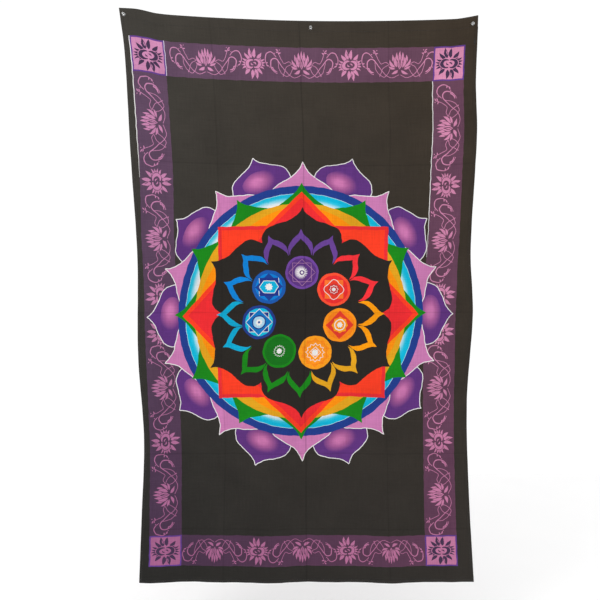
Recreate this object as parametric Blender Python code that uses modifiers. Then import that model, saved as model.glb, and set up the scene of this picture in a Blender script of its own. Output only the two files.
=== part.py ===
"""A hanging of thin dyed cotton, held to a wall by three push pins through its top hem.

Frame: X across the cloth, +Y into the wall, +Z up. The origin is on the back of the top hem, midway
across the hanging, where the hem lies flat on the wall. Lengths are in metres.

The cloth is described as it lies flat: u is the distance from its left edge and v the distance below
its top edge. place_on_cloth() says where such a point goes when the cloth hangs.
"""

import math

import bmesh
import bpy

# The cloth, finished and flat.
CLOTH_WIDTH = 1.08
CLOTH_LENGTH = 1.80
CLOTH_THICKNESS = 0.0004

# The hems: cloth turned under twice, so each holds two more layers than the panel.
TOP_HEM_DEPTH = 0.032
EDGE_HEM_WIDTH = 0.010
THREAD_RADIUS = 0.00025
SEAM_INSET = 0.002

# Touching pieces keep this gap, and the panel turns clear of the top hem by the larger one.
GAP = 0.0003
SWING_GAP = 0.0010

# The stitching draws the foot of the top hem forward, which makes room for its bobbin thread: how far,
# how far above the lower edge this is complete, and the depth over which it happens.
SEAM_PRESS = 2 * THREAD_RADIUS + 2 * GAP
SEAM_PRESS_DEPTH = 0.0035
SEAM_PRESS_RAMP = 0.0005

# How the cloth hangs. Its top left corner is the highest point, and the top edge drops away from it
# by these amounts: (u, drop).
CORNER_HEIGHT = 0.0586
TOP_EDGE_DROP = (
    (0.000, 0.0000),
    (0.055, 0.0035),
    (0.110, 0.0155),
    (0.170, 0.0215),
    (0.340, 0.0310),
    (0.560, 0.0380),
    (0.790, 0.0380),
    (1.010, 0.0325),
    (1.050, 0.0270),
    (1.080, 0.0215),
)
# The two side edges, drawn in where the cloth is slack: (v, x).
LEFT_EDGE = (
    (0.00, -0.5420),
    (0.12, -0.5280),
    (0.42, -0.5155),
    (0.74, -0.5010),
    (1.05, -0.5060),
    (1.32, -0.4940),
    (1.58, -0.5075),
    (1.80, -0.5210),
)
RIGHT_EDGE = (
    (0.00, 0.5340),
    (0.20, 0.5310),
    (0.35, 0.5380),
    (0.72, 0.5275),
    (0.92, 0.5390),
    (1.20, 0.5275),
    (1.50, 0.5410),
    (1.80, 0.5645),
)
# Below this length the drop of the top edge has evened out.
LEVEL_LENGTH = 0.95

# The flutes that the slack makes: how far the panel stands off the wall at its top, how far further
# it stands off below, and (height, width, phase, lean) of each wave. Lean moves a wave sideways with v.
TOP_STANDOFF = 0.0020
FREE_STANDOFF = 0.0085
FLUTE_LENGTH = 0.55
FLUTES = (
    (0.0042, 0.410, 0.4, 0.05),
    (0.0022, 0.190, 2.3, -0.04),
)

# The push pins: name, x and z of the needle.
PINS = (
    ("left", -0.5270, 0.0393),
    ("centre", 0.0318, 0.0000),
    ("right", 0.5171, 0.0119),
)
NEEDLE_RADIUS = 0.00055
NEEDLE_REACH = 0.0105
NEEDLE_POINT = 0.0025
HEAD_BORE_DEPTH = 0.0082
# The moulded head, from the middle of its outer end down to its flange: (radius, distance from the cloth).
HEAD_PROFILE = (
    (0.0000, 0.0125),
    (0.0028, 0.0125),
    (0.0034, 0.0120),
    (0.0034, 0.0110),
    (0.0026, 0.0098),
    (0.0021, 0.0080),
    (0.0020, 0.0055),
    (0.0024, 0.0032),
    (0.0034, 0.0022),
    (0.0046, 0.0019),
    (0.0048, 0.0014),
    (0.0048, 0.0004),
    (0.0045, 0.0000),
)
ROUND_STEPS = 20

# The columns leave the middle facet of the top hem, where the origin is, clear of the centre pin.
COLUMNS = 21
ROWS = 20

BLACK_COTTON = (0.045, 0.040, 0.036)
BLACK_THREAD = (0.030, 0.028, 0.027)
CLEAR_PLASTIC = (0.86, 0.87, 0.88)
STEEL = (0.62, 0.62, 0.63)


def smooth_curve(points, at):
    """The value at a place on a smooth curve through (place, value) points."""
    last = len(points) - 1
    span = 0
    while span < last - 1 and at > points[span + 1][0]:
        span += 1
    (x0, y0), (x1, y1) = points[span], points[span + 1]

    def slope(index):
        low = points[max(index - 1, 0)]
        high = points[min(index + 1, last)]
        return (high[1] - low[1]) / (high[0] - low[0])

    width = x1 - x0
    t = (at - x0) / width
    return (
        y0 * (2 * t**3 - 3 * t**2 + 1)
        + slope(span) * width * (t**3 - 2 * t**2 + t)
        + y1 * (3 * t**2 - 2 * t**3)
        + slope(span + 1) * width * (t**3 - t**2)
    )


def ease(t):
    """0 to 1 with a level start and end."""
    t = min(max(t, 0.0), 1.0)
    return t * t * (3 - 2 * t)


def standoff(u, v):
    """How far the back of the panel stands off the wall."""
    free = ease((v - TOP_HEM_DEPTH) / FLUTE_LENGTH)
    wave = 0.0
    for height, width, phase, lean in FLUTES:
        wave += height * math.sin(2 * math.pi * (u + lean * v) / width + phase)
    return TOP_STANDOFF + free * (FREE_STANDOFF + wave)


def place_on_cloth(u, v, forward):
    """Where a point of the flat cloth hangs, a distance forward of the back of the panel."""
    left = smooth_curve(LEFT_EDGE, v)
    right = smooth_curve(RIGHT_EDGE, v)
    x = left + (right - left) * u / CLOTH_WIDTH
    drop = smooth_curve(TOP_EDGE_DROP, u) * (1 - ease(v / LEVEL_LENGTH))
    return x, -standoff(u, v) - forward, CORNER_HEIGHT - v - drop


def place_on_top_hem(u, v, forward):
    """The same for the top hem, whose back is flat on the wall down to the stitching."""
    x, _, z = place_on_cloth(u, v, forward)
    above_press = TOP_HEM_DEPTH - SEAM_PRESS_DEPTH - v
    press = SEAM_PRESS * (1 - ease(above_press / SEAM_PRESS_RAMP))
    return x, -forward - press, z


def steps(low, high, count):
    """Evenly spaced places from low to high."""
    return [low + (high - low) * i / count for i in range(count + 1)]


def new_material(name, colour, roughness, transmission=0.0):
    material = bpy.data.materials.new(name)
    material.use_nodes = True
    shader = material.node_tree.nodes["Principled BSDF"]
    shader.inputs["Base Color"].default_value = (*colour, 1.0)
    shader.inputs["Roughness"].default_value = roughness
    shader.inputs["Transmission Weight"].default_value = transmission
    return material


def add_object(name, data, collection, material=None):
    piece = bpy.data.objects.new(name, data)
    collection.objects.link(piece)
    if material:
        data.materials.append(material)
    return piece


def sheet(name, columns, rows, layers, forward, place, collection, material):
    """A layer of cloth over the given u and v places, with its back a distance forward."""
    grid = bmesh.new()
    bmesh.ops.create_grid(
        grid, x_segments=len(columns) - 1, y_segments=len(rows) - 1, size=1.0
    )
    for vertex in grid.verts:
        column = round((vertex.co.x + 1) / 2 * (len(columns) - 1))
        row = round((1 - vertex.co.y) / 2 * (len(rows) - 1))
        vertex.co = place(columns[column], rows[row], forward)
    bmesh.ops.recalc_face_normals(grid, faces=grid.faces)
    if sum(face.normal.y for face in grid.faces) > 0:
        bmesh.ops.reverse_faces(grid, faces=grid.faces)
    mesh = bpy.data.meshes.new(name)
    grid.to_mesh(mesh)
    grid.free()
    piece = add_object(name, mesh, collection, material)
    thickness = piece.modifiers.new("layers", "SOLIDIFY")
    thickness.thickness = layers * CLOTH_THICKNESS
    thickness.offset = 1.0
    return piece


def thread(name, places, collection, material):
    """One sewing thread along the given points, with closed ends."""
    curve = bpy.data.curves.new(name, "CURVE")
    curve.dimensions = "3D"
    curve.bevel_depth = THREAD_RADIUS
    curve.bevel_resolution = 2
    curve.use_fill_caps = True
    spline = curve.splines.new("POLY")
    spline.points.add(len(places) - 1)
    for point, place in zip(spline.points, places):
        point.co = (*place, 1.0)
    return add_object(name, curve, collection, material)


def turned(name, profile, collection, material):
    """A piece turned about its own Z axis."""
    mesh = bpy.data.meshes.new(name)
    corners = [(radius, 0.0, height) for radius, height in profile]
    edges = [(i, i + 1) for i in range(len(corners) - 1)]
    mesh.from_pydata(corners, edges, [])
    piece = add_object(name, mesh, collection, material)
    screw = piece.modifiers.new("turn", "SCREW")
    screw.steps = ROUND_STEPS
    screw.render_steps = ROUND_STEPS
    screw.use_merge_vertices = True
    screw.merge_threshold = 0.00001
    screw.use_smooth_shade = True
    return piece


def cut_needle_holes(top_hem, cutters, collection):
    """Clearance holes for the three needles, through the layers of the top hem."""
    for name, x, z in PINS:
        drill = bmesh.new()
        bmesh.ops.create_cone(
            drill,
            cap_ends=True,
            segments=ROUND_STEPS,
            radius1=NEEDLE_RADIUS + GAP,
            radius2=NEEDLE_RADIUS + GAP,
            depth=0.02,
        )
        mesh = bpy.data.meshes.new(f"drill_{name}")
        drill.to_mesh(mesh)
        drill.free()
        cutter = add_object(f"drill_{name}", mesh, cutters)
        cutter.location = (x, 0.0, z)
        cutter.rotation_euler = (math.pi / 2, 0.0, 0.0)
        cutter.hide_render = True
        cutter.display_type = "WIRE"
        hole = top_hem.modifiers.new(f"hole_{name}", "BOOLEAN")
        hole.operation = "DIFFERENCE"
        hole.solver = "EXACT"
        hole.object = cutter


def make_cloth(collection, cutters, material):
    """The panel and the four turned hems behind its edges."""
    inner = (EDGE_HEM_WIDTH, CLOTH_WIDTH - EDGE_HEM_WIDTH)
    columns = [0.0, *steps(*inner, COLUMNS), CLOTH_WIDTH]
    panel_top = TOP_HEM_DEPTH + SWING_GAP
    side_rows = steps(panel_top, CLOTH_LENGTH - EDGE_HEM_WIDTH, ROWS)
    rows = [*side_rows, CLOTH_LENGTH]
    fold = 2 * CLOTH_THICKNESS
    behind = -GAP - fold
    sheet("cloth_panel", columns, rows, 1, 0.0, place_on_cloth, collection, material)
    pressed = TOP_HEM_DEPTH - SEAM_PRESS_DEPTH
    hem_rows = [0.0, pressed - SEAM_PRESS_RAMP, pressed, TOP_HEM_DEPTH]
    top_hem = sheet("top_hem", columns, hem_rows, 3, 0.0, place_on_top_hem, collection, material)
    cut_needle_holes(top_hem, cutters, collection)
    bottom_rows = [CLOTH_LENGTH - EDGE_HEM_WIDTH + GAP, CLOTH_LENGTH]
    sheet("bottom_hem", columns, bottom_rows, 2, behind, place_on_cloth, collection, material)
    left = [0.0, EDGE_HEM_WIDTH]
    right = [CLOTH_WIDTH - EDGE_HEM_WIDTH, CLOTH_WIDTH]
    sheet("left_hem", left, side_rows, 2, behind, place_on_cloth, collection, material)
    sheet("right_hem", right, side_rows, 2, behind, place_on_cloth, collection, material)


def make_seams(collection, material):
    """Each hem's lockstitch: a top thread on the front of the cloth and a bobbin thread behind the hem."""
    inset = EDGE_HEM_WIDTH - SEAM_INSET
    across = [0.0, *steps(EDGE_HEM_WIDTH, CLOTH_WIDTH - EDGE_HEM_WIDTH, COLUMNS), CLOTH_WIDTH]
    panel_top = TOP_HEM_DEPTH + SWING_GAP
    down = steps(panel_top, CLOTH_LENGTH - EDGE_HEM_WIDTH, ROWS)
    clear = GAP + THREAD_RADIUS
    front = CLOTH_THICKNESS + clear
    back = -GAP - 2 * CLOTH_THICKNESS - clear
    top_seam = TOP_HEM_DEPTH - SEAM_INSET
    bottom_seam = CLOTH_LENGTH - inset
    for layer, forward in (("top", front), ("bobbin", back)):
        seams = {
            "bottom_hem": [place_on_cloth(u, bottom_seam, forward) for u in across],
            "left_hem": [place_on_cloth(inset, v, forward) for v in down],
            "right_hem": [place_on_cloth(CLOTH_WIDTH - inset, v, forward) for v in down],
        }
        for seam, places in seams.items():
            thread(f"{seam}_{layer}_thread", places, collection, material)
    hem_front = 3 * CLOTH_THICKNESS + clear
    for layer, forward in (("top", hem_front), ("bobbin", -clear)):
        places = [place_on_top_hem(u, top_seam, forward) for u in across]
        thread(f"top_hem_{layer}_thread", places, collection, material)


def make_pins(collection, plastic, steel):
    """Three push pins: a clear moulded head on a steel needle, which enters the wall."""
    bore = NEEDLE_RADIUS + GAP
    head = [*HEAD_PROFILE, (bore, 0.0), (bore, HEAD_BORE_DEPTH), (0.0, HEAD_BORE_DEPTH)]
    needle = (
        (0.0, HEAD_BORE_DEPTH - GAP),
        (NEEDLE_RADIUS, HEAD_BORE_DEPTH - GAP),
        (NEEDLE_RADIUS, NEEDLE_POINT - NEEDLE_REACH),
        (0.0, -NEEDLE_REACH),
    )
    seat = -3 * CLOTH_THICKNESS - GAP
    for name, x, z in PINS:
        for part, profile, material in (("head", head, plastic), ("needle", needle, steel)):
            piece = turned(f"{name}_pin_{part}", profile, collection, material)
            piece.location = (x, seat, z)
            piece.rotation_euler = (math.pi / 2, 0.0, 0.0)


def main():
    for old in list(bpy.data.objects):
        bpy.data.objects.remove(old)
    parts = bpy.data.collections.new("tapestry_wall_hanging")
    cutters = bpy.data.collections.new("cutters")
    bpy.context.scene.collection.children.link(parts)
    bpy.context.scene.collection.children.link(cutters)
    make_cloth(parts, cutters, new_material("cotton", BLACK_COTTON, 0.9))
    make_seams(parts, new_material("thread", BLACK_THREAD, 0.7))
    plastic = new_material("clear_plastic", CLEAR_PLASTIC, 0.15, 1.0)
    make_pins(parts, plastic, new_material("steel", STEEL, 0.3))


main()
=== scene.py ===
"""The looks of a tapestry wall hanging: one large sheet of dyed cotton, pinned up by its top hem.

The cloth is made the way the real one is. Its pattern is drawn on the flat cloth as shapes, each dyed
over the ones before it, and the cloth is divided along the edges of those shapes. Then the flat cloth is
hung, and its hems, its stitching and the push pins go on.

Lengths are in metres. On the flat cloth, u is the distance from the left edge and v the distance below
the top edge. In the frame, X runs across the cloth, +Y goes into the wall and +Z is up.
"""

import math

import bpy
import numpy as np
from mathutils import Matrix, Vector, kdtree
from mathutils.geometry import delaunay_2d_cdt


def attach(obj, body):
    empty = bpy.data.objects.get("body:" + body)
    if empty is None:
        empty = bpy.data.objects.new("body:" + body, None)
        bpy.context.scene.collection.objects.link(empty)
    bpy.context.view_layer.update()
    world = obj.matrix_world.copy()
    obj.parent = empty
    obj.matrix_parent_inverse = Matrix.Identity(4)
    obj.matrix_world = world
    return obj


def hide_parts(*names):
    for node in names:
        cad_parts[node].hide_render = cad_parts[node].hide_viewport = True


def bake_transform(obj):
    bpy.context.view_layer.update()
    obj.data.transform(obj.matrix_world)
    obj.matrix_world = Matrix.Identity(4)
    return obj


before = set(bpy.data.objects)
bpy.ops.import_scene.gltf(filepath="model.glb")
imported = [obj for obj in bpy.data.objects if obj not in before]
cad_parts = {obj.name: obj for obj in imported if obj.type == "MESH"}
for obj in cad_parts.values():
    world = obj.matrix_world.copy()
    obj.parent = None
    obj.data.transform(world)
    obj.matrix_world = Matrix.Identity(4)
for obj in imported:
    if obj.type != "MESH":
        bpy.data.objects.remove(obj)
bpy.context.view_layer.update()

# The cloth and how it hangs, as in the CAD source.
CLOTH_WIDTH = 1.08
CLOTH_LENGTH = 1.80
CLOTH_THICKNESS = 0.0004
TOP_HEM_DEPTH = 0.032
EDGE_HEM_WIDTH = 0.010
THREAD_RADIUS = 0.00025
SEAM_INSET = 0.002
CORNER_HEIGHT = 0.0586
TOP_EDGE_DROP = (
    (0.000, 0.0000), (0.055, 0.0035), (0.110, 0.0155), (0.170, 0.0215), (0.340, 0.0310),
    (0.560, 0.0380), (0.790, 0.0380), (1.010, 0.0325), (1.050, 0.0270), (1.080, 0.0215),
)
LEFT_EDGE = (
    (0.00, -0.5420), (0.12, -0.5280), (0.42, -0.5155), (0.74, -0.5010), (1.05, -0.5060),
    (1.32, -0.4940), (1.58, -0.5075), (1.80, -0.5210),
)
RIGHT_EDGE = (
    (0.00, 0.5340), (0.20, 0.5310), (0.35, 0.5380), (0.72, 0.5275), (0.92, 0.5390), (1.20, 0.5275),
    (1.50, 0.5410), (1.80, 0.5645),
)
LEVEL_LENGTH = 0.95
TOP_STANDOFF = 0.0020
FREE_STANDOFF = 0.0085
FLUTE_LENGTH = 0.55
FLUTES = (
    (0.0042, 0.410, 0.4, 0.05),
    (0.0022, 0.190, 2.3, -0.04),
)
PINS = (
    ("left", -0.5270, 0.0393),
    ("centre", 0.0318, 0.0000),
    ("right", 0.5171, 0.0119),
)
HEAD_PROFILE = (
    (0.0000, 0.0125), (0.0028, 0.0125), (0.0034, 0.0120), (0.0034, 0.0110), (0.0026, 0.0098),
    (0.0021, 0.0080), (0.0020, 0.0055), (0.0024, 0.0032), (0.0034, 0.0022), (0.0046, 0.0019),
    (0.0048, 0.0014), (0.0048, 0.0004), (0.0045, 0.0000),
)
HEAD_BORE_RADIUS = 0.00085
HEAD_BORE_DEPTH = 0.0082
HEAD_SEAT = -0.0015

# Folds left by storage: where they lie, how far they stand out, and how much painted shade darkens the
# colour along them.
FOLDS_DOWN = (0.27, 0.54, 0.81)
FOLDS_ACROSS = (0.445, 0.917, 1.370, 1.620)
FOLD_HEIGHT = 0.0011
FOLD_WIDTH = 0.010
FOLD_SHADE = 0.16
FOLD_SHADES_DOWN = (FOLD_SHADE, 0.30, FOLD_SHADE)
FOLD_SHADE_WIDTH = 0.0035

# How finely the cloth is divided.
GRID_STEP = 0.0138
LONGEST_EDGE = 0.014
KEEP_CLEAR = 0.0040
LEAF_STEPS = 5

STITCH_PITCH = 0.0032
STITCH_LENGTH = 0.0026
HEM_STEP = 0.012
HEM_GAP = 0.001

# Colours are red, green and blue from 0 to 255, as they look on the hung cloth. The light there is
# brighter than white, so the cloth reflects only this share of each.
REFLECTED = 0.84
# The four corner colours of the black, the band violet and the pink are painted light as well as dye:
# lighter at the top with painted sheen from the light above, darker towards the bottom.
BLACK_TOP_LEFT = (63, 60, 55)
BLACK_TOP_RIGHT = (59, 49, 38)
BLACK_BOTTOM_LEFT = (38, 37, 35)
BLACK_BOTTOM_RIGHT = (49, 45, 41)
MANDALA_BLACK = (39, 35, 31)
BAND_TOP_LEFT = (98, 74, 98)
BAND_TOP_RIGHT = (106, 68, 88)
BAND_BOTTOM_LEFT = (68, 47, 72)
BAND_BOTTOM_RIGHT = (98, 60, 84)
PINK_TOP_LEFT = (208, 140, 182)
PINK_TOP_RIGHT = (220, 142, 178)
PINK_BOTTOM_LEFT = (162, 94, 138)
PINK_BOTTOM_RIGHT = (198, 122, 162)
CORNER_DARK = (70, 50, 80)
CORNER_VIOLET = (100, 62, 142)
WHITE = (240, 238, 236)
VIOLET_PETAL = (95, 50, 125)
PETAL_GLOW = (206, 120, 176)
PETAL_HALF_GLOW = (172, 94, 152)
PINK_PETAL = (205, 125, 180)
NAVY = (30, 60, 140)
PALE_BLUE = (205, 232, 240)
CYAN = (0, 185, 220)
GREEN = (20, 135, 20)
GOLD = (230, 165, 25)
ORANGE = (255, 146, 0)
ORANGE_RED = (255, 62, 32)
RED = (240, 42, 48)
DEEP_RED = (235, 45, 50)
CHEVRON_VIOLET = (106, 66, 150)
CHEVRON_RED = (252, 50, 58)
CHEVRON_CYAN = (0, 168, 208)
CHEVRON_ORANGE = (255, 158, 0)
CHEVRON_BLUE = (0, 130, 215)
PALE_EDGE = (205, 195, 215)
SHALLOW_WATER = (60, 200, 225)
UNDYED_BACK = (92, 86, 84)
HEM_BLACK = (56, 53, 49)
THREAD_BLACK = (40, 38, 37)

# The bands: where their outer edges lie, and how wide they are.
BAND_LEFT = 0.015
BAND_RIGHT = 1.043
BAND_TOP = 0.079
BAND_BOTTOM = 1.745
BAND_WIDTH = 0.104

# How far the side bands stray from a straight line, to the right: (v, distance).
LEFT_BAND_DRIFT = (
    (0.00, 0.0030), (0.08, 0.0040), (0.30, 0.0080), (0.48, 0.0100), (0.69, 0.0010), (0.88, 0.0060),
    (1.09, 0.0105), (1.28, 0.0040), (1.45, 0.0070), (1.66, 0.0130), (1.80, 0.0140),
)
RIGHT_BAND_DRIFT = (
    (0.00, 0.0015), (0.08, 0.0015), (0.41, -0.0030), (0.68, -0.0005), (0.80, -0.0090),
    (0.93, -0.0185), (1.10, -0.0090), (1.20, -0.0062), (1.45, -0.0078), (1.70, -0.0110),
    (1.80, -0.0110),
)

RIGHT_BAND_NARROWING = 0.009

# Where the motifs lie along the bands. Across the cloth they are evenly spaced about a middle one.
SIDE_UNITS = (0.3300, 0.6870, 1.1560, 1.5050)
SIDE_ROSETTES = (0.5106, 0.8640, 0.9810, 1.3300)
TOP_MIDDLE = 0.543
TOP_SPACING = 0.2965
BOTTOM_MIDDLE = 0.527
BOTTOM_SPACING = 0.293

MANDALA_CENTRE = (0.521, 0.915)

# How far the print of the mandala strays: to the right at each v and at each u, and down at each u.
MANDALA_LEAN = (
    (0.40, 0.0160), (0.56, 0.0115), (0.69, 0.0080), (0.92, 0.0038), (1.18, 0.0030), (1.40, 0.0040),
)
MANDALA_SWAY = (
    (0.03, 0.0020), (0.25, -0.0030), (0.52, 0.0000), (0.70, 0.0018), (0.90, -0.0015),
    (1.00, -0.0080),
)
MANDALA_SAG = (
    (0.03, 0.0190), (0.15, 0.0130), (0.28, 0.0060), (0.40, 0.0020), (0.52, 0.0005), (0.65, 0.0010),
    (0.78, 0.0030), (0.90, 0.0060), (1.03, 0.0090),
)


# ---------------------------------------------------------------- curves


def mm(*points):
    """Points given in millimetres, in metres."""
    return np.array(points, float) * 0.001


def ease(t):
    """0 to 1 with a level start and end."""
    t = np.clip(t, 0.0, 1.0)
    return t * t * (3 - 2 * t)


def wave(turns):
    """The height of an even wave after that many turns."""
    return np.sin(2 * math.pi * turns)


def smooth_curve(points, at):
    """The heights at the given places of a smooth curve through (place, height) points."""
    places, heights = np.array(points).T
    order = np.arange(len(places))
    low = np.maximum(order - 1, 0)
    high = np.minimum(order + 1, len(places) - 1)
    slopes = (heights[high] - heights[low]) / (places[high] - places[low])
    span = np.clip(np.searchsorted(places, at) - 1, 0, len(places) - 2)
    width = places[span + 1] - places[span]
    t = (at - places[span]) / width
    return (
        heights[span] * (2 * t**3 - 3 * t**2 + 1)
        + slopes[span] * width * (t**3 - 2 * t**2 + t)
        + heights[span + 1] * (3 * t**2 - 2 * t**3)
        + slopes[span + 1] * width * (t**3 - t**2)
    )


def path_through(points, steps=5):
    """A smooth path through the points."""
    points = np.asarray(points, float)
    before = 2 * points[0] - points[1]
    after = 2 * points[-1] - points[-2]
    points = np.vstack([before, points, after])
    t = (np.arange(steps) / steps)[:, None]
    pieces = []
    for a, b, c, d in zip(points, points[1:], points[2:], points[3:]):
        bend = (2 * a - 5 * b + 4 * c - d) * t**2
        swing = (3 * b - a - 3 * c + d) * t**3
        pieces.append(0.5 * (2 * b + (c - a) * t + bend + swing))
    return np.vstack([*pieces, points[-2]])


def angles(count):
    """That many angles, evenly round a circle."""
    return 2 * math.pi * np.arange(count) / count


def circle(radius, count=48, centre=(0.0, 0.0), squash=1.0):
    """A circle, or an ellipse squashed in its y direction."""
    angle = angles(count)
    round_points = np.stack([np.cos(angle), squash * np.sin(angle)], axis=1)
    return np.array(centre) + radius * round_points


def box(half_width, half_height=None):
    """A rectangle about the centre."""
    half_height = half_height or half_width
    return np.array([(-1, -1), (1, -1), (1, 1), (-1, 1)]) * (half_width, half_height)


def diamond(half_width):
    """A diamond about the centre, as high as it is wide."""
    return np.array([(0, -1), (1, 0), (0, 1), (-1, 0)]) * half_width


def star(count, outer, inner):
    """A star with that many points."""
    angle = math.pi * np.arange(2 * count) / count
    radius = np.where(np.arange(2 * count) % 2, inner, outer)[:, None]
    return radius * np.stack([np.sin(angle), np.cos(angle)], axis=1)


def side_path(points):
    """A smooth path through points given as (height, distance to the right)."""
    return path_through([(across, along) for along, across in points])


def petal(side, foot=None):
    """A petal that points up, from the points of its right side, tip first. It can run down to a foot."""
    right = side_path(side)
    left = right[::-1] * (-1, 1)
    feet = [] if foot is None else [(0.0, foot)]
    return np.vstack([right, *feet, left[:-1]])


def leaf(base, tip, width, bend=0.0):
    """A leaf from its base to its tip, bowed to its left by bend. The arguments are in millimetres."""
    base, tip = mm(base)[0], mm(tip)[0]
    width, bend = 0.001 * width, 0.001 * bend
    along = tip - base
    side = np.array([-along[1], along[0]]) / np.hypot(*along)
    t = np.linspace(0.0, 1.0, LEAF_STEPS)[:, None]
    middle = base + along * t + side * bend * 4 * t * (1 - t)
    half = 0.5 * width * np.sin(math.pi * t**0.8)
    return np.vstack([middle + side * half, (middle - side * half)[-2:0:-1]])


def divided(outline, closed):
    """The same outline with no edge longer than LONGEST_EDGE."""
    ends = np.roll(outline, -1, axis=0) if closed else outline[1:]
    pieces = []
    for start, end in zip(outline, ends):
        count = max(1, math.ceil(np.hypot(*(end - start)) / LONGEST_EDGE))
        share = (np.arange(count) / count)[:, None]
        pieces.append(start + (end - start) * share)
    if not closed:
        pieces.append(outline[-1:])
    return np.vstack(pieces)


def band_drift(places):
    """The same places, with those at the two side bands moved as the bands stray.

    The right band also narrows towards its top, where its inner edge lies nearer the outer one.
    """
    u, v = places.T
    left = smooth_curve(LEFT_BAND_DRIFT, v) * (1 - ease((u - 0.13) / 0.2))
    from_outer = np.clip((BAND_RIGHT - u) / BAND_WIDTH, 0, 1)
    narrowing = RIGHT_BAND_NARROWING * (1 - ease(v / 0.8)) * from_outer
    right = (smooth_curve(RIGHT_BAND_DRIFT, v) + narrowing) * ease((u - 0.73) / 0.2)
    return np.stack([u + left + right, v], axis=1)


def mandala_drift(places):
    """The same places on the mandala, moved as its print strays."""
    u, v = places.T
    right = smooth_curve(MANDALA_LEAN, v) + smooth_curve(MANDALA_SWAY, u)
    return np.stack([u + right, v + smooth_curve(MANDALA_SAG, u)], axis=1)


def hand_drawn(places):
    """The same places, a little off, as a hand draws them."""
    u, v = places.T
    slow_u = 0.0006 * wave(v / 0.041 + 0.3)
    slow_v = 0.0006 * wave(u / 0.047 + 0.1)
    quick_u = 0.0004 * np.sin(2 * math.pi * (u + v) / 0.023)
    quick_v = 0.0004 * np.sin(2 * math.pi * (u - v) / 0.026)
    return places + np.stack([slow_u + quick_u, slow_v + quick_v], axis=1)


# ---------------------------------------------------------------- dyes


def linear(colour):
    """A colour of 0 to 255 as the light that it reflects."""
    share = np.asarray(colour, float) / 255
    return REFLECTED * np.where(share <= 0.04045, share / 12.92, ((share + 0.055) / 1.055) ** 2.4)


def plain(colour):
    """A dye that is the same all over."""

    def dye(u, v):
        return np.broadcast_to(linear(colour), (len(u), 3))

    return dye


def corner_lit(top_left, top_right, bottom_left, bottom_right):
    """A dye with painted light: it blends between four corner colours, lighter at the top with painted
    sheen from the light above and darker towards the bottom.
    """

    def dye(u, v):
        right = np.clip(u / CLOTH_WIDTH, 0, 1)[:, None]
        down = np.clip(v / CLOTH_LENGTH, 0, 1)[:, None]
        top = linear(top_left) * (1 - right) + linear(top_right) * right
        bottom = linear(bottom_left) * (1 - right) + linear(bottom_right) * right
        return top * (1 - down) + bottom * down

    return dye


def ringed(brush, stops, squash=1.0):
    """A dye that runs from colour to colour with the distance from the brush's centre."""
    away = np.linalg.inv(brush.axes)

    def dye(u, v):
        x, y = ((np.stack([u, v], axis=1) - brush.centre) @ away).T
        distance = np.hypot(x, y / squash)
        radii = [radius for radius, _ in stops]
        colours = np.array([linear(colour) for _, colour in stops])
        channels = [np.interp(distance, radii, channel) for channel in colours.T]
        return np.stack(channels, axis=1)

    return dye


# Each of these blends painted light into the dye: painted sheen makes it lighter at the top, and painted
# shading makes it darker towards the bottom.
black_dye_painted_light = corner_lit(BLACK_TOP_LEFT, BLACK_TOP_RIGHT, BLACK_BOTTOM_LEFT, BLACK_BOTTOM_RIGHT)
band_dye_painted_light = corner_lit(BAND_TOP_LEFT, BAND_TOP_RIGHT, BAND_BOTTOM_LEFT, BAND_BOTTOM_RIGHT)
pink_dye_painted_light = corner_lit(PINK_TOP_LEFT, PINK_TOP_RIGHT, PINK_BOTTOM_LEFT, PINK_BOTTOM_RIGHT)


# ---------------------------------------------------------------- drawing on the flat cloth


class Pattern:
    """Shapes dyed on the flat cloth, each over the ones before it."""

    def __init__(self, ground):
        shares = np.array([(0, 0), (1, 0), (1, 1), (0, 1)])
        corners = shares * (CLOTH_WIDTH, CLOTH_LENGTH)
        self.places = []
        self.shapes = []
        self.dyes = []
        self.add(divided(corners, closed=True), ground)

    def add(self, outline, dye):
        """Adds a closed outline, turned the one way round that the division needs.

        The dye is a plain colour, or a function that gives the light reflected at each (u, v).
        """
        u, v = outline.T
        area = u @ np.roll(v, -1) - v @ np.roll(u, -1)
        if abs(area) < 1e-9:
            return
        if area < 0:
            outline = outline[::-1]
        first = len(self.places)
        self.places.extend(outline.tolist())
        self.shapes.append(list(range(first, first + len(outline))))
        self.dyes.append(dye if callable(dye) else plain(dye))

    def fill(self, outline, dye, drift):
        self.add(drift(hand_drawn(divided(outline, closed=True))), dye)

    def line(self, path, width, dye, drift):
        """A line along the path. It has one width, or one for each point of the path."""
        widths = np.broadcast_to(np.asarray(width, float), len(path))
        finer = divided(path, closed=False)
        walked = np.concatenate([[0.0], np.cumsum(np.hypot(*np.diff(path, axis=0).T))])
        finer_walked = np.concatenate([[0.0], np.cumsum(np.hypot(*np.diff(finer, axis=0).T))])
        half = 0.5 * np.interp(finer_walked, walked, widths)[:, None]
        finer = drift(hand_drawn(finer))
        ahead = np.gradient(finer, axis=0)
        ahead /= np.maximum(np.hypot(*ahead.T), 1e-9)[:, None]
        side = np.stack([-ahead[:, 1], ahead[:, 0]], axis=1) * half
        left = finer + side
        right = finer - side
        for a, b, c, d in zip(left, left[1:], right[1:], right):
            self.add(np.array([a, b, c]), dye)
            self.add(np.array([a, c, d]), dye)

    def divide(self):
        """The places, the triangles over them, and each triangle's topmost shape."""
        places = [Vector(place) for place in self.places]
        near = kdtree.KDTree(len(places))
        for index, place in enumerate(places):
            near.insert((*place, 0.0), index)
        near.balance()
        for place in inner_places():
            if near.find((*place, 0.0))[2] > KEEP_CLEAR:
                places.append(Vector(place))
        found = delaunay_2d_cdt(places, [], self.shapes, 0, 1e-5)
        flat = np.array(found[0])
        triangles = np.array(found[2])
        lost = lost_shapes(found[5])
        top = np.array([max(set(shapes) - lost) for shapes in found[5]])
        return flat, triangles, top


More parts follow.
